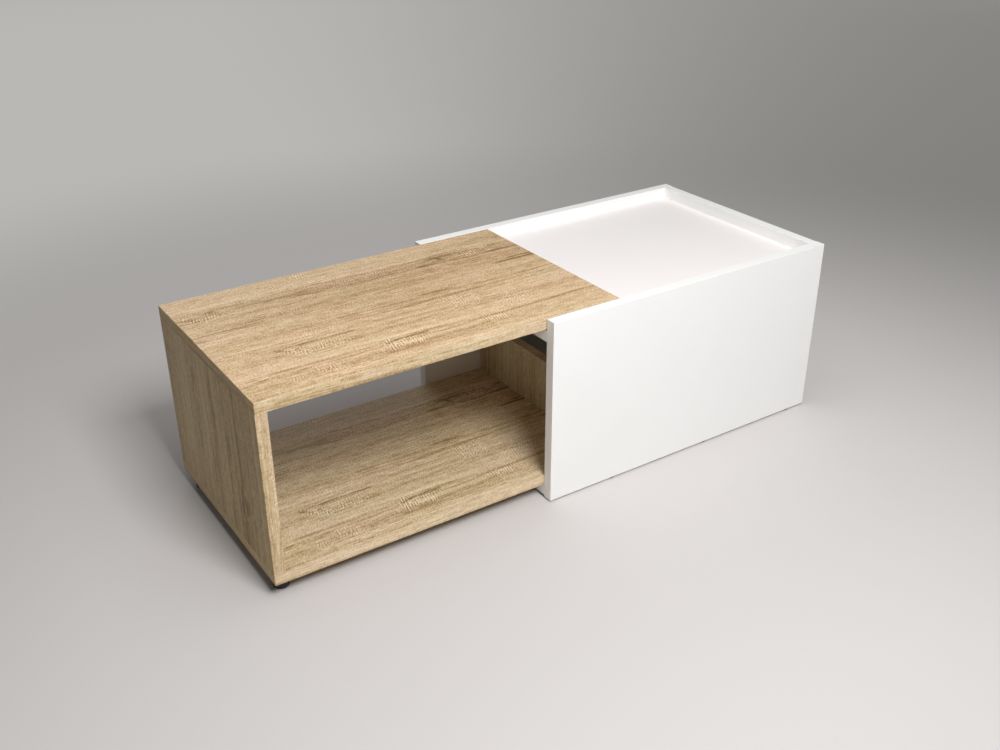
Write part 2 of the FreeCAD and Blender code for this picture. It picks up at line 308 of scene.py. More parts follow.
LENGTH_STREAKS = (
    Streak(-0.020, 0.060, 0.104, 0.0030, 0.34),
    Streak(0.030, 0.115, 0.119, 0.0025, 0.20, 0.22),
    Streak(0.110, 0.500, 0.128, 0.0024, 0.18),
    Streak(0.090, 0.240, 0.112, 0.0024, 0.18),
    Streak(0.190, 0.246, 0.100, 0.0026, 0.38, -0.12),
    Streak(0.250, 0.350, 0.098, 0.0024, 0.22),
    Streak(0.330, 0.378, 0.101, 0.0030, 0.36),
    Streak(0.405, 0.455, 0.101, 0.0034, 0.38),
    Streak(0.430, 0.505, 0.123, 0.0046, 0.26),
    Streak(0.450, 0.498, 0.110, 0.0024, 0.36, -0.60),
    Streak(0.495, 0.532, 0.097, 0.0028, 0.42, -0.20),
    Streak(0.535, 0.660, 0.098, 0.0032, 0.38),
    Streak(0.555, 0.660, 0.123, 0.0034, 0.32, -0.05),
    Streak(-0.020, 0.640, 0.116, 0.0130, 0.07),
    Streak(-0.020, 0.125, 0.044, 0.0026, 0.34),
    Streak(-0.020, 0.210, 0.053, 0.0026, 0.18),
    Streak(0.130, 0.470, 0.045, 0.0026, 0.15),
    Streak(0.520, 0.680, 0.044, 0.0034, 0.70),
    Streak(0.545, 0.680, 0.053, 0.0024, 0.42),
    Streak(-0.020, 0.470, 0.058, 0.0110, 0.12),
    Streak(0.060, 0.205, -0.013, 0.0022, 0.24),
    Streak(0.205, 0.252, -0.012, 0.0034, 0.24),
    Streak(0.290, 0.660, -0.013, 0.0026, 0.26),
    Streak(0.345, 0.432, -0.006, 0.0034, 0.32),
    Streak(0.050, 0.238, -0.063, 0.0030, 0.46),
    Streak(0.082, 0.108, -0.070, 0.0030, 0.36, -0.50),
    Streak(0.108, 0.130, -0.070, 0.0026, 0.30, 0.45),
    Streak(0.240, 0.370, -0.067, 0.0034, 0.14),
    Streak(0.150, 0.520, -0.045, 0.0170, 0.08),
    Streak(0.010, 0.118, -0.138, 0.0022, 0.44),
    Streak(0.030, 0.200, -0.127, 0.0022, 0.30),
    Streak(0.120, 0.225, -0.136, 0.0026, 0.30),
    Streak(0.210, 0.264, -0.129, 0.0026, 0.36, 0.18),
    Streak(0.256, 0.308, -0.127, 0.0034, 0.46),
    Streak(0.220, 0.400, -0.136, 0.0024, 0.22),
    Streak(0.350, 0.570, -0.131, 0.0028, 0.32),
    Streak(0.490, 0.660, -0.127, 0.0030, 0.34),
    Streak(0.200, 0.300, -0.158, 0.0030, 0.20),
)
LENGTH_PATCHES = (
    Patch(0.110, -0.080, 0.040, 0.030, 0.9),
    Patch(0.165, -0.080, 0.080, 0.030, 0.7),
    Patch(0.252, -0.142, 0.095, 0.040, 1.0),
    Patch(0.415, -0.141, 0.070, 0.040, 0.9),
    Patch(0.130, -0.154, 0.055, 0.032, 0.6),
    Patch(0.402, -0.052, 0.075, 0.050, 0.7),
    Patch(0.480, -0.090, 0.075, 0.045, 0.7),
    Patch(0.520, 0.120, 0.090, 0.070, 1.0),
    Patch(0.040, 0.104, 0.070, 0.032, 0.9),
    Patch(0.230, 0.182, 0.050, 0.030, 0.8),
)
LENGTH_KNOTS = (
    Knot(0.500, 0.116, 0.080, 0.030),
    Knot(0.025, 0.112, 0.075, 0.024),
)
UPRIGHT_STREAKS = (
    Streak(0.240, 0.278, 0.064, 0.0050, 0.32),
    Streak(0.100, 0.270, 0.067, 0.0034, 0.26),
    Streak(0.030, 0.100, 0.126, 0.0040, 0.18),
    Streak(0.060, 0.260, 0.016, 0.0050, 0.16),
    Streak(0.040, 0.105, -0.049, 0.0050, 0.28),
    Streak(0.180, 0.340, -0.046, 0.0030, 0.22),
    Streak(0.000, 0.340, -0.108, 0.0120, 0.16),
    Streak(0.095, 0.135, -0.110, 0.0044, 0.30),
    Streak(0.010, 0.140, -0.097, 0.0026, 0.26),
    Streak(0.280, 0.330, -0.105, 0.0050, 0.30),
)
UPRIGHT_PATCHES = (
    Patch(0.135, 0.050, 0.090, 0.030, 0.6),
    Patch(0.115, -0.110, 0.080, 0.045, 0.7),
    Patch(0.215, 0.025, 0.060, 0.030, 0.5),
)
UPRIGHT_KNOTS = (
    Knot(0.115, -0.108, 0.050, 0.022),
)


class OakPrint(Finish):
    """An oak print under way.  sheet gives a point's place along and across the grain."""

    def __init__(self, name, sheet, seed):
        super().__init__(name)
        self.along, self.across = sheet(*self.place())
        self.drift = self.along + seed

    def layer(self, grain, line, lean=0.0):
        """Noise about 0 on a line of the grain.  It may lean as it crosses the grain."""
        along = self.drift - line * lean if lean else self.drift
        where = self.vector(along * grain.along, line * grain.across)
        return self.noise(where, detail=grain.detail) - MIDDLE

    def near(self, value, place, half, soft):
        """1 within half of a place, and down to 0 over soft."""
        return self.rise(abs(value - place), half + soft, half)

    def swaying_line(self):
        """The place across the grain, where the grain sways slowly."""
        line = self.across
        for sway in SWAYS:
            line = line + self.layer(sway, line) * sway.depth
        return line

    def flow_round(self, knots, line, shade):
        """Draws the grain's line in at each knot, and gives the knot its own figure."""
        figure = self.layer(KNOT_FIGURE, line)
        for knot in knots:
            east = (self.along - knot.along) / knot.length
            north = (self.across - knot.across) / knot.width
            inside = self.rise(east * east + north * north, 1.0, 0.0)
            line = line - (line - knot.across) * inside * KNOT_PINCH
            shade = shade + figure * inside * KNOT_FIGURE.depth - inside * KNOT_DARKNESS
        return line, shade

    def with_veins(self, line, shade):
        """Adds thin dark veins, which come and go."""
        shown = self.rise(self.layer(VEIN_PLACES, self.across), *VEIN_PLACE_EDGE)
        vein = self.rise(abs(self.layer(VEINS, line)), VEIN_HALF, 0.0)
        return shade - vein * shown * VEINS.depth

    def with_streaks(self, streaks, line, shade):
        """Adds dark streaks, which are broken like the fibres."""
        broken = self.layer(STREAK_BREAKS, line) * STREAK_BREAKS.depth + STREAK_BODY
        for streak in streaks:
            middle = (streak.start + streak.end) / 2
            quarter = (streak.end - streak.start) / 4
            below = line - streak.across
            if streak.slope:
                below = below - (self.along - middle) * streak.slope
            run = self.near(self.along, middle, quarter, quarter)
            crisp = self.rise(below, streak.width * STREAK_CRISP_SIDE, 0.0)
            soft = self.rise(below, streak.width * -STREAK_SOFT_SIDE, 0.0)
            shade = shade - crisp * soft * run * broken * streak.depth
        return shade

    def sawn_places(self, patches):
        """How sawn each place is, from 0 to 1: here and there at random, and at the patches."""
        ragged = self.layer(RAGGED, self.across)
        scattered = self.layer(SAWN_PLACES, self.across) + ragged * RAGGED_SPREAD
        sawn = self.rise(scattered, *SAWN_EDGE) * SAWN_PLACES.depth
        along = self.along + ragged * RAGGED_ALONG
        across = self.across - ragged * RAGGED_ACROSS
        for patch in patches:
            over = self.near(along, patch.along, patch.length * PATCH_FULL, patch.length * PATCH_FADE)
            beside = self.near(across, patch.across, patch.width * PATCH_FULL, patch.width * PATCH_FADE)
            sawn = sawn.maths("MAXIMUM", over * beside * patch.depth)
        return sawn

    def strokes(self):
        """The saw's strokes: a leaning comb across the grain, with gaps."""
        leaning = self.along - self.across * STROKE_LEAN
        leaning = leaning + self.layer(STROKE_SWAY, self.across) * STROKE_SWAY.depth
        comb = self.rise((leaning * STROKE_TURNS).maths("SINE"), *STROKE_EDGE) - STROKE_MEAN
        return comb * self.rise(self.layer(STROKE_GAPS, self.across), *STROKE_GAP_EDGE)

    def colour(self, shade, contrast, tint):
        """The print's colour for a shade about 0."""
        colour = self.add("ShaderNodeValToRGB", {"stops": OAK_TONES}, {"Fac": shade * contrast + MIDDLE})
        blush = self.rise(self.layer(BLUSHES, self.across), *BLUSH_EDGE)
        colour = self.blend(colour, self.blend(GREENISH, PINKISH, blush), 1.0, "MULTIPLY")
        if tint:
            colour = self.blend(colour, tint(self) if callable(tint) else tint, 1.0, "MULTIPLY")
        return colour


def oak_decor(name, sheet, seed=0.0, streaks=(), patches=(), knots=(), contrast=1.0, sawing=1.0,
              tint=None):
    """Printed oak decor.  tint is a colour, or a function that adds one to the finish: painted shade on
    the left end, painted light on the shelf and the upstand.
    """
    finish = OakPrint(name, sheet, seed)
    line = finish.swaying_line()
    shade = finish.layer(BROAD_BANDS, line) * BROAD_BANDS.depth
    line, shade = finish.flow_round(knots, line, shade)
    for band in NARROW_BANDS:
        shade = shade + finish.layer(band, line) * band.depth
    fibres = finish.layer(FIBRES, line)
    shade = shade + fibres * FIBRES.depth + finish.layer(CLOUDS, line) * CLOUDS.depth
    shade = shade - finish.rise(finish.layer(PORES, line), *PORE_EDGE) * PORES.depth
    shade = finish.with_veins(line, shade)
    shade = finish.with_streaks(streaks, line, shade)
    sawn = finish.sawn_places(patches)
    strokes = finish.strokes()
    scratches = finish.layer(SCRATCHES, finish.across, lean=SCRATCH_LEAN)
    marks = scratches * (SCRATCHES.depth + sawn * SCRATCHES_WHERE_SAWN) + strokes * sawn * STROKE_DEPTH
    shade = shade + marks * sawing + sawn * SAWN_PALENESS
    return finish.surface(
        Base_Color=finish.colour(shade, contrast, tint),
        Roughness=OAK_ROUGHNESS + fibres * FIBRE_ROUGHNESS,
        Specular_IOR_Level=OAK_SHEEN,
        Normal=finish.bump(fibres + strokes * sawn, OAK_RELIEF),
    )


oak_low, oak_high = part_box("oak_top")
SHELF_SHIFT = 0.0105
# Painted light: the shelf and the upstand inside the unit are printed paler and less red than the same
# decor on the top, against the warm shade between the boards.
INNER_PAINTED_LIGHT = (1.01, 1.10, 1.16)
UPSTAND_PAINTED_LIGHT = (0.99, 1.18, 1.32)
# Painted shade: the left end board is printed darker and more olive than the same decor elsewhere, for the
# shade on that side.
END_PAINTED_SHADE = (0.825, 0.85, 0.72)
STRIP_TINT = (1.09, 1.19, 1.27)
STRIP_TINT_EDGE = 0.0002


# How the faces of boards and of their edge strips lie on the sheet

def top_sheet(x, y, z):
    return x - oak_low.x, y


def shelf_sheet(x, y, z):
    return x - (oak_low.x + SHELF_SHIFT), y


def upright_sheet(x, y, z):
    return z, y


def length_strip(x, y, z):
    return x + y, z


def upright_strip(x, y, z):
    return z, x + y


def strip_tint_and_end_shade(finish):
    """Strip faces on the left end take the end board's painted shade, a darker, more olive copy of the
    decor; the rest take the strips' tint.
    """
    x = finish.place()[0]
    inside = finish.rise(x, oak_low.x, oak_low.x + STRIP_TINT_EDGE)
    return finish.blend(END_PAINTED_SHADE, STRIP_TINT, inside)


length_marks = {"streaks": LENGTH_STREAKS, "patches": LENGTH_PATCHES, "knots": LENGTH_KNOTS}
upright_marks = {"streaks": UPRIGHT_STREAKS, "patches": UPRIGHT_PATCHES, "knots": UPRIGHT_KNOTS}
dress(oak_decor("oak_decor_top", top_sheet, **length_marks), "oak_top")
# The shelf and the upstand: the same decor, with painted light.
dress(oak_decor("oak_decor_shelf", shelf_sheet, tint=INNER_PAINTED_LIGHT, **length_marks), "oak_bottom")
# The left end board: the same decor, with painted shade.
dress(oak_decor("oak_decor_end", upright_sheet, seed=1.7, contrast=0.9, tint=END_PAINTED_SHADE,
                **upright_marks), "oak_left_end")
dress(oak_decor("oak_decor_upstand", upright_sheet, seed=2.6, contrast=0.7, tint=UPSTAND_PAINTED_LIGHT),
      "oak_upstand")
dress(oak_decor("oak_strip_long", length_strip, seed=3.1, contrast=0.8, sawing=0.9, tint=strip_tint_and_end_shade),
      "oak_top_edging", "oak_bottom_edging")
dress(oak_decor("oak_strip_upright", upright_strip, seed=4.3, contrast=0.8, sawing=0.9, tint=STRIP_TINT),
      "oak_left_end_edging", "oak_upstand_edging")


# White melamine

WHITE = (0.905, 0.903, 0.890)
TRAY_WHITE = (0.905, 0.865, 0.852)
CLOUDED = 0.975
BOARD_PEARL = 0.0012
STRIP_PEARL = 0.0006
PEARL_RELIEF = 0.00004


def white_melamine(name, colour, pearl):
    """Satin white with a fine pearled surface, whose grains are pearl metres across."""
    finish = Finish(name)
    point = finish.point()
    grain = finish.noise(point, scale=1 / pearl, detail=2.0, flat=False)
    cloud = finish.noise(point, scale=9.0, detail=2.0, flat=False)
    colour = finish.blend(colour, tuple(part * CLOUDED for part in colour), cloud)
    return finish.surface(Base_Color=colour, Roughness=0.36 + grain * 0.12,
                          Normal=finish.bump(grain, PEARL_RELIEF))


dress(white_melamine("white_melamine", WHITE, BOARD_PEARL),
      "sleeve_front", "sleeve_back", "sleeve_end", "cross_rail")
dress(white_melamine("tray_melamine", TRAY_WHITE, BOARD_PEARL), "tray_floor")
dress(white_melamine("white_strip", WHITE, STRIP_PEARL),
      "sleeve_front_edging", "sleeve_back_edging", "sleeve_end_edging", "tray_floor_edging",
      "cross_rail_edging")


# Finishes of the fittings

BEECH_DARK = (0.640, 0.430, 0.245)
BEECH_PALE = (0.780, 0.585, 0.385)
BEECH_FLECK = (0.420, 0.230, 0.110)
ZINC_DULL = (0.470, 0.475, 0.480)
ZINC_RUBBED = (0.690, 0.695, 0.700)
STEEL_BLUE = (0.700, 0.725, 0.770)
STEEL_STRAW = (0.800, 0.775, 0.690)
OAK_PLASTIC = (0.510, 0.365, 0.205)
BLACK_PLASTIC = (0.016, 0.016, 0.017)
GLIDE_BLACK = (0.030, 0.028, 0.026)
FELT_DARK = (0.085, 0.083, 0.080)
FELT_PALE = (0.300, 0.292, 0.280)
FELT_CLUMP = (0.200, 0.194, 0.185)
RUBBER_THIN = (0.760, 0.775, 0.780)
RUBBER_MILKY = (0.880, 0.890, 0.890)


def beech():
    """Raw beech: pale, with short dark flecks along the dowel."""
    finish = Finish("raw_beech")
    x, y, z = finish.split(finish.turned_point())
    grain = finish.noise(finish.vector(x * 900.0, y * 900.0, z * 45.0), flat=False)
    flecks = finish.noise(finish.vector(x * 2600.0, y * 2600.0, z * 500.0), flat=False)
    fleck = finish.rise(flecks, 0.60, 0.70)
    colour = finish.blend(BEECH_DARK, BEECH_PALE, grain)
    colour = finish.blend(colour, BEECH_FLECK, fleck * 0.6)
    return finish.surface(Base_Color=colour, Roughness=0.62 + grain * 0.14,
                          Normal=finish.bump(grain - fleck * 0.5, 0.00008))


def die_cast_zinc():
    """Dull cast zinc with a sandy skin and a few brighter, rubbed places."""
    finish = Finish("die_cast_zinc")
    point = finish.point()
    skin = finish.noise(point, scale=2600.0, flat=False)
    cloud = finish.noise(point, scale=420.0, flat=False)
    rubbed = finish.rise(cloud, 0.48, 0.72)
    colour = finish.blend(ZINC_DULL, ZINC_RUBBED, rubbed * 0.7 + skin * 0.3)
    return finish.surface(Base_Color=colour, Metallic=1.0, Roughness=0.55 - rubbed * 0.20,
                          Normal=finish.bump(skin, 0.00004))


def plated_steel():
    """Zinc-plated steel: bright, with a faint blue and straw cast and turning marks."""
    finish = Finish("bright_plated_steel")
    z = finish.split(finish.turned_point())[2]
    rings = finish.noise(finish.vector(z * 9000.0, 0.0))
    cast = finish.noise(finish.point(), scale=260.0, flat=False)
    colour = finish.blend(STEEL_BLUE, STEEL_STRAW, finish.rise(cast, 0.35, 0.65))
    return finish.surface(Base_Color=colour, Metallic=1.0, Roughness=0.22 + rings * 0.16,
                          Normal=finish.bump(rings, 0.00001))


def moulded_plastic(name, colour, roughness, grain_size, relief, scuff=0.0):
    """Moulded plastic with a grain of this size and relief, and paler where it is scuffed."""
    finish = Finish(name)
    point = finish.point()
    grain = finish.noise(point, scale=1 / grain_size, flat=False)
    cloud = finish.noise(point, scale=140.0, flat=False)
    rubbed = finish.rise(cloud, 0.55, 0.75) * scuff
    pale = tuple(part * 1.5 + 0.02 for part in colour)
    dark = tuple(part * 0.85 for part in colour)
    shade = finish.blend(dark, colour, grain)
    return finish.surface(Base_Color=finish.blend(shade, pale, rubbed),
                          Roughness=roughness + grain * 0.10 + rubbed * 0.1,
                          Normal=finish.bump(grain, relief))


def felt():
    """Pressed wool felt: grey, flecked with lighter and darker fibres, quite matt."""
    finish = Finish("pressed_felt")
    point = finish.point()
    tangle = finish.noise(point, scale=1400.0, detail=4.0, roughness=0.7, flat=False)
    clumps = finish.noise(point, scale=330.0, detail=3.0, flat=False)
    colour = finish.blend(FELT_DARK, FELT_PALE, finish.rise(tangle, 0.30, 0.72))
    colour = finish.blend(colour, FELT_CLUMP, clumps * 0.5)
    return finish.surface(Base_Color=colour, Roughness=0.96, Sheen_Weight=0.35, Sheen_Roughness=0.6,
                          Specular_IOR_Level=0.2, Normal=finish.bump(tangle + clumps, 0.00025))


def soft_rubber():
    """Clear, slightly milky rubber with a soft skin."""
    finish = Finish("soft_rubber")
    skin = finish.noise(finish.point(), scale=900.0, flat=False)
    milk = finish.blend(RUBBER_THIN, RUBBER_MILKY, skin)
    return finish.surface(Base_Color=milk, Roughness=0.22 + skin * 0.12, Transmission_Weight=0.65,
                          IOR=1.46, Normal=finish.bump(skin, 0.00003))


# Turned shapes.  A profile is a list of (height, radius) from the head to the tip.

WELD = 0.000002
SHARP = math.radians(35)
FLUTES = 20
FLUTE_DEPTH = 0.09
RIBS = 6
RIB_DEPTH = 0.16
CROSS_WEB = 0.28
ROUNDING_STEPS = 5


class Spot(NamedTuple):
    """Where one fitting sits: the middle of its head's end, and the way to its tip."""
    head: Vector
    into: Vector
    length: float
    radius: float


def solids(name):
    """The corners of each separate solid of a CAD node."""
    mesh = bmesh.new()
    mesh.from_mesh(nodes[name].data)
    bmesh.ops.remove_doubles(mesh, verts=mesh.verts, dist=WELD)
    found = []
    for first in mesh.verts:
        if first.tag:
            continue
        first.tag = True
        reached = [first]
        for corner in reached:
            for edge in corner.link_edges:
                other = edge.other_vert(corner)
                if not other.tag:
                    other.tag = True
                    reached.append(other)
        found.append([corner.co.copy() for corner in reached])
    mesh.free()
    return found


def spots(name, into=None):
    """A spot for each round solid of a CAD node.  The head is the end with more corners."""
    found = []
    for corners in solids(name):
        low = Vector([min(corner[axis] for corner in corners) for axis in range(3)])
        high = Vector([max(corner[axis] for corner in corners) for axis in range(3)])
        size = high - low
        middle = (low + high) / 2
        if into is None:
            # A round solid's length lies along the axis whose other two sizes are alike.
            axis = min(range(3), key=lambda turn: abs(size[turn - 1] - size[turn - 2]))
            mean = sum(corner[axis] for corner in corners) / len(corners)
            way = Vector()
            way[axis] = 1.0 if mean <= middle[axis] else -1.0
        else:
            way = Vector(into)
        length = abs(size.dot(way))
        radius = max((corner - middle).cross(way).length for corner in corners)
        found.append(Spot(middle - way * length / 2, way, length, radius))
    return found


def rounded(radius, size):
    """Profile points round the edge of a flat head, from its face to its side."""
    points = []
    for step in range(ROUNDING_STEPS + 1):
        turn = math.pi / 2 * (step / ROUNDING_STEPS - 1)
        points.append((size + size * math.sin(turn), radius - size + size * math.cos(turn)))
    return points


def fluted(turn):
    """Share of the radius at a turn round a dowel with grooves along it."""
    return 1.0 - FLUTE_DEPTH * (1.0 - math.cos(FLUTES * turn)) / 2


def hexagon(turn):
    """Share of the radius, at its corners, of a hexagon."""
    return math.cos(math.pi / 6) / math.cos(turn % (math.pi / 3) - math.pi / 6)


def ribbed(turn):
    """Share of the radius of a well with round ribs."""
    return 1.0 - RIB_DEPTH * max(0.0, math.cos(RIBS * turn)) ** 3


def cross(turn):
    """Share of the radius, at its arms, of a recess with four arms."""
    return CROSS_WEB + (1.0 - CROSS_WEB) * abs(math.cos(2 * turn)) ** 5


def turned(name, profile, sides=32, ring=False):
    """A solid turned from a profile, or a ring that is open at the middle.

    A profile point is a height and a radius, and may add the outline that the radius is for.
    """
    mesh = bmesh.new()
    rows = []
    for side in range(sides):
        turn = 2 * math.pi * side / sides
        row = []
        for height, radius, *outline in profile:
            reach = radius * outline[0](turn) if outline else radius
            row.append(mesh.verts.new((reach * math.cos(turn), reach * math.sin(turn), height)))
        rows.append(row)
    stations = len(profile)
    for side, row in enumerate(rows):
        next_row = rows[(side + 1) % sides]
        for here in range(stations if ring else stations - 1):
            there = (here + 1) % stations
            mesh.faces.new((row[here], next_row[here], next_row[there], row[there]))
    bmesh.ops.remove_doubles(mesh, verts=mesh.verts, dist=WELD)
    bmesh.ops.recalc_face_normals(mesh, faces=mesh.faces)
    data = bpy.data.meshes.new(name)
    mesh.to_mesh(data)
    mesh.free()
    data.shade_smooth()
    data.set_sharp_from_angle(angle=SHARP)
    return bpy.data.objects.new(name, data)


class Shape(Wiring):
    """A Geometry Nodes tree under way, with named inputs after its first, a geometry."""

    def __init__(self, name, **inputs):
        super().__init__(bpy.data.node_groups.new(name, "GeometryNodeTree"))
        face = self.tree.interface
        face.new_socket("Geometry", in_out="INPUT", socket_type="NodeSocketGeometry")
        for label, kind in inputs.items():
            face.new_socket(label.replace("_", " "), in_out="INPUT", socket_type="NodeSocket" + kind)
        face.new_socket("Geometry", in_out="OUTPUT", socket_type="NodeSocketGeometry")
        self.group = self.tree.nodes.new("NodeGroupInput")

    def given(self, label):
        return Value(self, self.group.outputs[label])

    def join(self, *parts):
        joined = self.add("GeometryNodeJoinGeometry")
        for part in parts:
            self.tree.links.new(part.socket, joined.socket.node.inputs["Geometry"])
        return joined

    def close(self, geometry):
        """Ends the tree with real copies of what it placed, in the finish that it was given."""
        whole = self.add("GeometryNodeRealizeInstances", sockets={"Geometry": geometry})
        sockets = {"Geometry": whole, "Material": self.given("Finish")}
        dressed = self.add("GeometryNodeSetMaterial", sockets=sockets)
        self.add("NodeGroupOutput", sockets={"Geometry": dressed})

    def mesh_from(self, name, points, into=(), **given):
        """The shape's mesh for these points and inputs, as a plain object."""
        mesh = bpy.data.meshes.new(name)
        mesh.from_pydata(points, [], [])
        ways = mesh.attributes.new("into", "FLOAT_VECTOR", "POINT")
        for way, direction in zip(ways.data, into):
            way.vector = direction
        seed = bpy.data.objects.new(name, mesh)
        bpy.context.scene.collection.objects.link(seed)
        modifier = seed.modifiers.new("shape", "NODES")
        modifier.node_group = self.tree
        for socket in self.tree.interface.items_tree:
            label = socket.name.replace(" ", "_")
            if socket.in_out == "INPUT" and label in given:
                modifier[socket.identifier] = given[label]
        graph = bpy.context.evaluated_depsgraph_get()
        made = bpy.data.meshes.new_from_object(seed.evaluated_get(graph), depsgraph=graph)
        seed.modifiers.clear()
        seed.data = made
        bpy.data.meshes.remove(mesh)
        made.name = name
        made.materials.clear()
        made.materials.append(given["Finish"])
        return seed


def fitting_shape(threaded):
    """Copies of a turned fitting at its spots.  A threaded one also gets a ridge round its core."""
    sizes = {}
    if threaded:
        sizes = {"Thread_Start": "Float", "Thread_Length": "Float", "Thread_Radius": "Float",
                 "Pitch": "Float"}
    name = "threaded_fittings" if threaded else "fittings"
    shape = Shape(name, Fitting="Object", Finish="Material", **sizes)
    body = shape.add("GeometryNodeObjectInfo", sockets={"Object": shape.given("Fitting")},
                     output="Geometry")
    if threaded:
        pitch = shape.given("Pitch")
        ridge = pitch * 0.36
        spine = shape.given("Thread Radius") - ridge
        spiral = shape.add("GeometryNodeCurveSpiral", sockets={
            "Resolution": 18,
            "Rotations": shape.given("Thread Length") / pitch,
            "Start Radius": spine,
            "End Radius": spine,
            "Height": shape.given("Thread Length"),
        })
        upright = shape.add("GeometryNodeSetCurveNormal", {"mode": "Z_UP"}, {"Curve": spiral})
        tooth = shape.add("GeometryNodeCurvePrimitiveCircle", sockets={"Resolution": 3, "Radius": ridge})
        thread = shape.add("GeometryNodeCurveToMesh", sockets={
            "Curve": upright,
            "Profile Curve": tooth,
            "Fill Caps": True,
        })
        raised = shape.add("GeometryNodeTransform", sockets={
            "Geometry": thread,
            "Translation": shape.vector(0.0, 0.0, shape.given("Thread Start")),
        })
        body = shape.join(body, raised)
    body = shape.add("GeometryNodeStoreNamedAttribute", {"data_type": "FLOAT_VECTOR"}, {
        "Geometry": body,
        "Name": "turned_place",
        "Value": shape.add("GeometryNodeInputPosition"),
    })
    ways = shape.add("GeometryNodeInputNamedAttribute", {"data_type": "FLOAT_VECTOR"}, {"Name": "into"})
    turns = shape.add("FunctionNodeAlignRotationToVector", {"axis": "Z"}, {"Vector": ways})
    placed = shape.add("GeometryNodeInstanceOnPoints", sockets={
        "Points": shape.given("Geometry"),
        "Instance": body,
        "Rotation": turns,
    })
    shape.close(placed)
    return shape


def felt_shape():
    """Felt discs with slightly uneven, fluffy faces, centred on their points."""
    shape = Shape("felt_discs", Radius="Float", Thickness="Float", Fluff="Float", Finish="Material")
    disc = shape.add("GeometryNodeMeshCylinder", sockets={
        "Vertices": 96,
        "Side Segments": 6,
        "Fill Segments": 24,
        "Radius": shape.given("Radius"),
        "Depth": shape.given("Thickness"),
    })
    placed = shape.add("GeometryNodeInstanceOnPoints", sockets={
        "Points": shape.given("Geometry"),
        "Instance": disc,
    })
    whole = shape.add("GeometryNodeRealizeInstances", sockets={"Geometry": placed})
    place = shape.add("GeometryNodeInputPosition")
    lumps = shape.noise(place, scale=900.0, detail=2.0, flat=False)
    inwards = shape.add("ShaderNodeVectorMath", {"operation": "SCALE"}, {
        "Vector": shape.add("GeometryNodeInputNormal"),
        "Scale": shape.given("Fluff") * lumps * -1.0,
    })
    shape.close(shape.add("GeometryNodeSetPosition", sockets={"Geometry": whole, "Offset": inwards}))
    return shape


# Fittings

BOARD = oak_high.z - oak_low.z
DOWEL_CHAMFER = 0.0008
CAM_BOLT_HEAD = 0.0026
CAM_BOLT_HEAD_RADIUS = 0.0028
CAM_BOLT_HEAD_ROUND = 0.0008
CAM_BOLT_NECK_END = 0.0098
CAM_BOLT_NECK_RADIUS = 0.0018
CAM_BOLT_THREAD = 0.0110
CAM_BOLT_THREAD_RADIUS = 0.0025
CAM_BOLT_PITCH = 0.0018
CONNECTOR_HEAD = 0.0030
CONNECTOR_SHANK_RADIUS = 0.0035
CONNECTOR_THREAD = 0.0285
CONNECTOR_THREAD_RADIUS = 0.0025
CONNECTOR_PITCH = 0.0026
FOOT_SCREW_HEAD = 0.0024
FOOT_SCREW_HEAD_ROUND = 0.0012
FOOT_SCREW_THREAD_START = 0.0030
FOOT_SCREW_THREAD = 0.0150
FOOT_SCREW_THREAD_RADIUS = 0.0020
FOOT_SCREW_PITCH = 0.0016
NAIL_HEAD = 0.0008
NAIL_RADIUS = 0.0009
NAIL_POINT = 0.0022
NAIL_RINGS = 9
CAP_DISC = 0.0012
CAP_ROUND = 0.0008
CAP_PEG_RADIUS = 0.0020
FOOT_ROUND = 0.0015
FOOT_WELL_RADIUS = 0.0065
FOOT_SCREW_WAY = 0.00205
FOOT_WEB = 0.0070
GLIDE_ROUND = 0.0008
GLIDE_WELL = 0.0018
GLIDE_WELL_RADIUS = 0.00205
GLIDE_NAIL_WAY = 0.00095
PAD_FLUFF = 0.00025


def dowel(spot):
    """Wooden dowel with flutes and chamfered ends."""
    end = spot.length
    low = spot.radius - DOWEL_CHAMFER
    profile = [(0.0, 0.0), (0.0, low, fluted), (DOWEL_CHAMFER, spot.radius, fluted)]
    profile += [(end - DOWEL_CHAMFER, spot.radius, fluted), (end, low, fluted), (end, 0.0)]
    return turned("dowel", profile, sides=4 * FLUTES)


def cam_bolt(spot):
    """Cam bolt: a round head on a slim neck, a collar and the core of its thread."""
    core = CAM_BOLT_THREAD_RADIUS * 0.80
    face = 0.0018
    head_bevel = 0.0004
    collar_bevel = 0.0005
    tip = 0.0008
    thread_start = spot.length - CAM_BOLT_THREAD
    profile = [(0.0, 0.0), (0.0, face)]
    profile += rounded(CAM_BOLT_HEAD_RADIUS, CAM_BOLT_HEAD_ROUND)
    profile += [(CAM_BOLT_HEAD - head_bevel, CAM_BOLT_HEAD_RADIUS), (CAM_BOLT_HEAD, CAM_BOLT_NECK_RADIUS)]
    profile += [(CAM_BOLT_NECK_END, CAM_BOLT_NECK_RADIUS), (CAM_BOLT_NECK_END, spot.radius - collar_bevel)]
    profile += [(CAM_BOLT_NECK_END + collar_bevel, spot.radius), (thread_start, spot.radius)]
    profile += [(thread_start, core), (spot.length - tip, core), (spot.length, core * 0.6)]
    profile += [(spot.length, 0.0)]
    return turned("cam_bolt", profile)


def connecting_screw(spot):
    """Screw that joins two boards, with a countersunk head and a hexagon socket."""
    core = CONNECTOR_THREAD_RADIUS * 0.76
    head_radius = spot.radius - 0.0002
    head_edge = 0.0003
    socket_depth = 0.0026
    socket_point = 0.0032
    socket_floor = 0.0021
    socket_mouth = 0.0023
    tip = 0.0030
    tip_radius = 0.0006
    profile = [(socket_point, 0.0), (socket_depth, socket_floor, hexagon), (0.0, socket_mouth, hexagon)]
    profile += [(0.0, head_radius), (head_edge, head_radius)]
    profile += [(CONNECTOR_HEAD, CONNECTOR_SHANK_RADIUS), (BOARD, CONNECTOR_SHANK_RADIUS)]
    profile += [(BOARD, core), (spot.length - tip, core), (spot.length, tip_radius), (spot.length, 0.0)]
    return turned("connecting_screw", profile, sides=48)


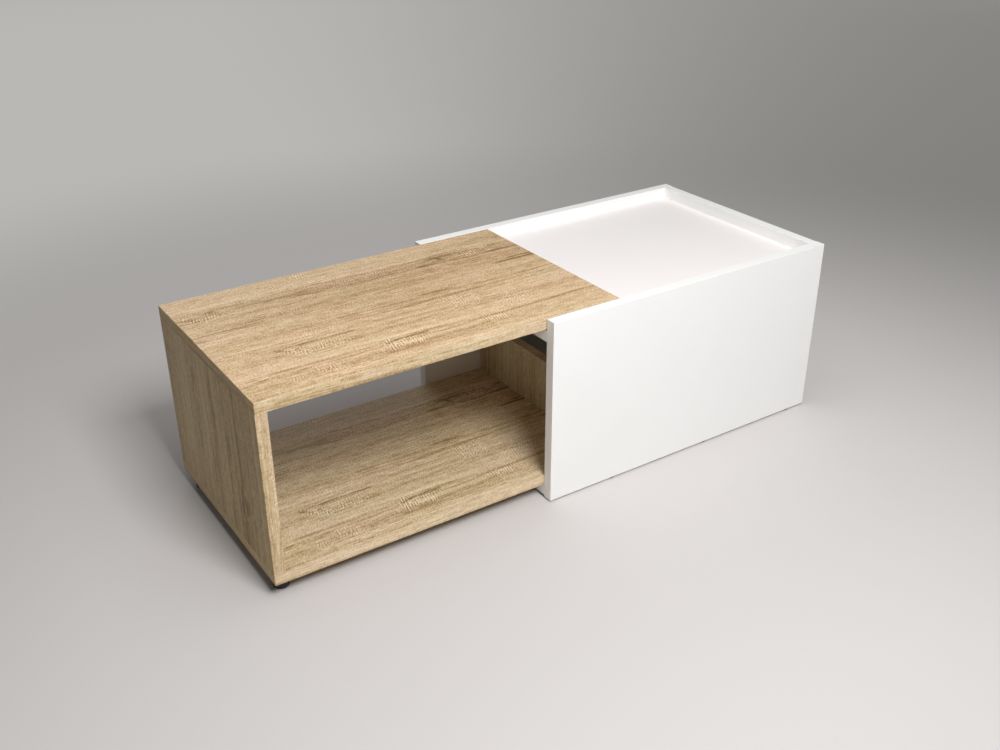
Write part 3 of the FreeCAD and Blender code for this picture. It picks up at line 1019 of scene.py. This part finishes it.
def foot_screw(spot):
    """Pan head screw with a cross recess."""
    core = FOOT_SCREW_THREAD_RADIUS * 0.72
    recess_depth = 0.0015
    recess_point = 0.0016
    recess_floor = 0.0008
    recess_mouth = 0.0023
    face = 0.0026
    point = 0.0035
    profile = [(recess_point, 0.0), (recess_depth, recess_floor, cross)]
    profile += [(0.0, recess_mouth, cross), (0.0, face)]
    profile += rounded(spot.radius, FOOT_SCREW_HEAD_ROUND)
    profile += [(FOOT_SCREW_HEAD, spot.radius), (FOOT_SCREW_HEAD, core)]
    profile += [(spot.length - point, core), (spot.length, 0.0)]
    return turned("foot_screw", profile, sides=48)


def nail(spot):
    """Flat head nail with rings along its shank."""
    head_bevel = 0.0002
    face = spot.radius - 0.0003
    rings_start = 0.0025
    spacing = (spot.length - 2 * rings_start) / NAIL_RINGS
    waist = NAIL_RADIUS * 0.86
    profile = [(0.0, 0.0), (0.0, face), (head_bevel, spot.radius)]
    profile += [(NAIL_HEAD - head_bevel, spot.radius), (NAIL_HEAD, NAIL_RADIUS)]
    for ring in range(NAIL_RINGS):
        height = rings_start + ring * spacing
        profile += [(height, NAIL_RADIUS), (height + spacing * 0.3, waist)]
    profile += [(spot.length - NAIL_POINT, NAIL_RADIUS), (spot.length, 0.0)]
    return turned("nail", profile, sides=20)


def cam_cap(spot):
    """Push-in cap: a low disc with a rounded edge and a dimple, on a peg."""
    dimple = 0.0002
    dimple_floor = 0.0010
    dimple_mouth = 0.0016
    peg_bevel = 0.0005
    profile = [(dimple, 0.0), (dimple * 0.75, dimple_floor), (0.0, dimple_mouth)]
    profile += rounded(spot.radius, CAP_ROUND)
    profile += [(CAP_DISC, spot.radius), (CAP_DISC, CAP_PEG_RADIUS)]
    profile += [(spot.length - peg_bevel, CAP_PEG_RADIUS), (spot.length, CAP_PEG_RADIUS * 0.8)]
    profile += [(spot.length, 0.0)]
    return turned("cam_cap", profile, sides=48)


def foot(spot):
    """Moulded foot: a rounded sole, a ribbed well for its screw and a groove below its top."""
    bevel = 0.0003
    well_bevel = 0.0008
    sole_groove = 0.0004
    sole_groove_inside = 0.0090
    sole_groove_outside = 0.0100
    groove_start = spot.length - 0.0040
    groove_end = spot.length - 0.0028
    groove_radius = spot.radius - 0.0005
    profile = [(spot.length - FOOT_WEB, FOOT_WELL_RADIUS, ribbed), (well_bevel, FOOT_WELL_RADIUS, ribbed)]
    profile += [(0.0, FOOT_WELL_RADIUS + well_bevel), (0.0, sole_groove_inside)]
    profile += [(sole_groove, sole_groove_inside + bevel), (sole_groove, sole_groove_outside - bevel)]
    profile += [(0.0, sole_groove_outside)]
    profile += rounded(spot.radius, FOOT_ROUND)
    profile += [(groove_start, spot.radius), (groove_start + bevel, groove_radius)]
    profile += [(groove_end - bevel, groove_radius), (groove_end, spot.radius)]
    profile += [(spot.length - bevel, spot.radius), (spot.length, spot.radius - bevel)]
    profile += [(spot.length, FOOT_SCREW_WAY), (spot.length - FOOT_WEB, FOOT_SCREW_WAY)]
    return turned("foot", profile, sides=96, ring=True)


def glide(spot):
    """Nail-on glide with a rounded sole."""
    well_bevel = 0.0003
    back_bevel = 0.0004
    profile = [(GLIDE_WELL, GLIDE_NAIL_WAY), (GLIDE_WELL, GLIDE_WELL_RADIUS)]
    profile += [(well_bevel, GLIDE_WELL_RADIUS), (0.0, GLIDE_WELL_RADIUS + well_bevel)]
    profile += rounded(spot.radius, GLIDE_ROUND)
    profile += [(spot.length - back_bevel, spot.radius), (spot.length, spot.radius - back_bevel)]
    profile += [(spot.length, GLIDE_NAIL_WAY)]
    return turned("glide", profile, sides=48, ring=True)


def bumper(spot):
    """Domed stick-on bumper, whose dome is drawn by shares of its radius."""
    top = spot.length
    radius = spot.radius
    profile = [(0.0, 0.0), (0.0, radius - 0.0002), (0.00025, radius), (0.0007, radius - 0.0001)]
    profile += [(0.0013, radius * 0.86), (0.0017, radius * 0.66), (top - 0.00006, radius * 0.36)]
    profile += [(top, radius * 0.12), (top, 0.0)]
    return turned("bumper", profile, sides=40)


plain_fittings = fitting_shape(threaded=False)
threaded_fittings = fitting_shape(threaded=True)
RAW_BEECH = beech()
CAST_ZINC = die_cast_zinc()
PLATED_STEEL = plated_steel()
OAK_CAP = moulded_plastic("oak_cap_plastic", OAK_PLASTIC, roughness=0.58,
                          grain_size=0.0004, relief=0.00003)
BLACK_FOOT = moulded_plastic("black_foot_plastic", BLACK_PLASTIC, roughness=0.46,
                             grain_size=0.0005, relief=0.00006, scuff=0.35)
GLIDE_PLASTIC = moulded_plastic("smooth_glide_plastic", GLIDE_BLACK, roughness=0.34,
                                grain_size=0.0007, relief=0.00002, scuff=0.5)
FELT = felt()
RUBBER = soft_rubber()


def install(piece, name, body):
    """Makes a piece stand for a CAD node and move with its body."""
    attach(piece, body)
    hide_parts(name)


def set_fittings(name, body, slot, finish, maker, into=None, **thread):
    """Sets a turned fitting in place of each solid of a CAD node."""
    places = spots(name, into)
    fitting = maker(places[0])
    shape = threaded_fittings if thread else plain_fittings
    piece = shape.mesh_from(name + "_turned", [spot.head for spot in places],
                            [spot.into for spot in places], Fitting=fitting, Finish=finish, **thread)
    bpy.data.objects.remove(fitting)
    install(piece, name, body)


def set_dowels(name, body):
    """Fluted dowels in place of a node's plain ones."""
    set_fittings(name, body, "beech_dowel", RAW_BEECH, dowel)


def set_cam_bolts(name, body):
    """Cam bolts with real threads in place of a node's plain ones."""
    start = spots(name)[0].length - CAM_BOLT_THREAD
    set_fittings(name, body, "plated_steel", PLATED_STEEL, cam_bolt,
                 Thread_Start=start + 0.0004, Thread_Length=CAM_BOLT_THREAD - 0.0010,
                 Thread_Radius=CAM_BOLT_THREAD_RADIUS, Pitch=CAM_BOLT_PITCH)


def set_pads(name, body):
    """Felt discs in place of a node's plain ones."""
    places = spots(name)
    middles = [spot.head + spot.into * (spot.length / 2) for spot in places]
    piece = felt_shape().mesh_from(name + "_felt", middles, Radius=places[0].radius,
                                   Thickness=places[0].length, Fluff=PAD_FLUFF, Finish=FELT)
    install(piece, name, body)


UP = Vector((0.0, 0.0, 1.0))
RIGHT = Vector((1.0, 0.0, 0.0))

for name in ("left_end_dowels", "upstand_dowels"):
    set_dowels(name, "oak_unit")
for name in ("sleeve_end_dowels", "tray_dowels", "rail_dowels"):
    set_dowels(name, "sleeve")
set_cam_bolts("left_end_cam_bolts", "oak_unit")
for name in ("sleeve_end_cam_bolts", "tray_cam_bolts", "rail_cam_bolts"):
    set_cam_bolts(name, "sleeve")
set_fittings("upstand_screws", "oak_unit", "plated_steel", PLATED_STEEL, connecting_screw,
             Thread_Start=BOARD + 0.0005, Thread_Length=CONNECTOR_THREAD,
             Thread_Radius=CONNECTOR_THREAD_RADIUS, Pitch=CONNECTOR_PITCH)
set_fittings("foot_screws", "oak_unit", "plated_steel", PLATED_STEEL, foot_screw,
             Thread_Start=FOOT_SCREW_THREAD_START, Thread_Length=FOOT_SCREW_THREAD,
             Thread_Radius=FOOT_SCREW_THREAD_RADIUS, Pitch=FOOT_SCREW_PITCH)
set_fittings("sleeve_glide_nails", "sleeve", "plated_steel", PLATED_STEEL, nail)
set_fittings("left_end_cam_caps", "oak_unit", "oak_cap", OAK_CAP, cam_cap)
for name in ("foot_front_left", "foot_front_right", "foot_back_left", "foot_back_right"):
    set_fittings(name, "oak_unit", "black_foot", BLACK_FOOT, foot, into=UP)
set_fittings("sleeve_glides", "sleeve", "glide_plastic", GLIDE_PLASTIC, glide, into=UP)
set_fittings("closing_bumpers", "oak_unit", "clear_bumper", RUBBER, bumper, into=RIGHT)
set_pads("top_glide_pads", "oak_unit")
dress(CAST_ZINC, "left_end_cams", "sleeve_end_cams", "tray_cams", "rail_cams")


# Camera

CAMERA_PLACE = Vector((-0.95716, -1.41071, 1.01842))
CAMERA_AIM = Vector((-0.0361, -0.0263, 0.1500))
CAMERA_ROLL = math.radians(-0.22)
SENSOR_WIDTH = 36.0
LENS = 39.298


def make_camera():
    data = bpy.data.cameras.new("camera")
    data.sensor_width = SENSOR_WIDTH
    data.lens = LENS
    camera = bpy.data.objects.new("camera", data)
    bpy.context.scene.collection.objects.link(camera)
    turn = (CAMERA_AIM - CAMERA_PLACE).to_track_quat("-Z", "Y").to_matrix().to_4x4()
    camera.matrix_world = Matrix.Translation(CAMERA_PLACE) @ turn @ Matrix.Rotation(CAMERA_ROLL, 4, "Z")
    bpy.context.scene.camera = camera


make_camera()


# Floor

FLOOR_RADIUS = 12.0
FLOOR_SIDES = 96
FLOOR_GAP = 0.0002
FLOOR_COLOUR = (0.605, 0.580, 0.570)
BACKDROP_PALE = (0.485, 0.475, 0.455)
BACKDROP_PAINTED_SHADE = (0.215, 0.209, 0.197)
BACKDROP_FAR = (0.370, 0.362, 0.347)
FADE_START = 0.7
FADE_END = 2.1
PAINTED_SHADE_SIDE = (0.2, 1.1)
SIDES_END = (4.5, 10.0)
PAPER_ROUGHNESS = 0.85


def seen_rays(wiring):
    """1 for rays that show the stage: the camera's, and those through gloss and glass."""
    seen = wiring.add("ShaderNodeLightPath", output="Is Camera Ray")
    rays = seen.socket.node.outputs
    for kind in ("Is Glossy Ray", "Is Transmission Ray"):
        seen = seen.maths("MAXIMUM", Value(wiring, rays[kind]))
    return seen


def floor_paper():
    """Matt paper, which far from the table takes the backdrop's colour: pale on the left, with painted
    shade towards +x, and even far out.
    """
    finish = Finish("floor_paper")
    x, y = finish.place()[:2]
    away = (x * x + y * y).maths("SQRT")
    far = finish.rise(away, FADE_START, FADE_END)
    tooth = finish.noise(finish.vector(x, y), scale=700.0)
    paper = finish.add("ShaderNodeBsdfPrincipled", sockets={
        "Base Color": (*FLOOR_COLOUR, 1.0),
        "Roughness": PAPER_ROUGHNESS + tooth * 0.1,
    })
    # Painted shade: the backdrop darkens towards the +x side.
    backdrop = finish.blend(BACKDROP_PALE, BACKDROP_PAINTED_SHADE, finish.rise(x / away, *PAINTED_SHADE_SIDE))
    backdrop = finish.blend(backdrop, BACKDROP_FAR, finish.rise(away, *SIDES_END))
    glowing_backdrop = finish.add("ShaderNodeEmission", sockets={"Color": backdrop})
    both = finish.add("ShaderNodeMixShader", sockets={0: far * seen_rays(finish), 1: paper, 2: glowing_backdrop})
    finish.add("ShaderNodeOutputMaterial", sockets={"Surface": both})
    return finish.material


def make_floor():
    mesh = bpy.data.meshes.new("floor")
    corners = []
    for side in range(FLOOR_SIDES):
        turn = 2 * math.pi * side / FLOOR_SIDES
        corners.append((FLOOR_RADIUS * math.cos(turn), FLOOR_RADIUS * math.sin(turn), -FLOOR_GAP))
    mesh.from_pydata(corners, [], [range(FLOOR_SIDES)])
    floor = bpy.data.objects.new("floor", mesh)
    bpy.context.scene.collection.objects.link(floor)
    floor.data.materials.append(floor_paper())


make_floor()


# Light

def area_lamp(name, place, aim, size, power):
    """A square soft light of this size in metres and power in watts.  The camera doesn't see it."""
    data = bpy.data.lights.new(name, "AREA")
    data.shape = "SQUARE"
    data.size = size
    data.energy = power
    lamp = bpy.data.objects.new(name, data)
    place = Vector(place)
    lamp.location = place
    lamp.rotation_mode = "QUATERNION"
    lamp.rotation_quaternion = (Vector(aim) - place).to_track_quat("-Z", "Y")
    lamp.visible_camera = False
    bpy.context.scene.collection.objects.link(lamp)


WORLD_STRENGTH = 0.105


def make_world():
    """A faint white light all round, seen as the far end of the backdrop."""
    world = bpy.data.worlds.new("studio")
    world.use_nodes = True
    world.node_tree.nodes.clear()
    wiring = Wiring(world.node_tree)
    faint = {"Color": (1.0, 1.0, 1.0, 1.0), "Strength": WORLD_STRENGTH}
    light = wiring.add("ShaderNodeBackground", sockets=faint)
    backdrop = wiring.add("ShaderNodeBackground", sockets={"Color": (*BACKDROP_FAR, 1.0)})
    both = wiring.add("ShaderNodeMixShader", sockets={0: seen_rays(wiring), 1: light, 2: backdrop})
    wiring.add("ShaderNodeOutputWorld", sockets={"Surface": both})
    bpy.context.scene.world = world


area_lamp("key_lamp", place=(-0.3, -1.6, 1.9), aim=(0.0, 0.0, 0.2), size=0.8, power=48.5)
area_lamp("top_lamp", place=(-0.2, -0.45, 1.7), aim=(-0.2, -0.3, 0.0), size=1.2, power=7.7)
area_lamp("back_lamp", place=(0.2, 2.4, 1.7), aim=(-0.1, 0.0, 0.2), size=2.0, power=10.0)
area_lamp("end_lamp", place=(2.6, -0.2, 0.8), aim=(0.5, 0.0, 0.2), size=1.2, power=5.6)
make_world()
bpy.context.scene.view_settings.view_transform = "Standard"
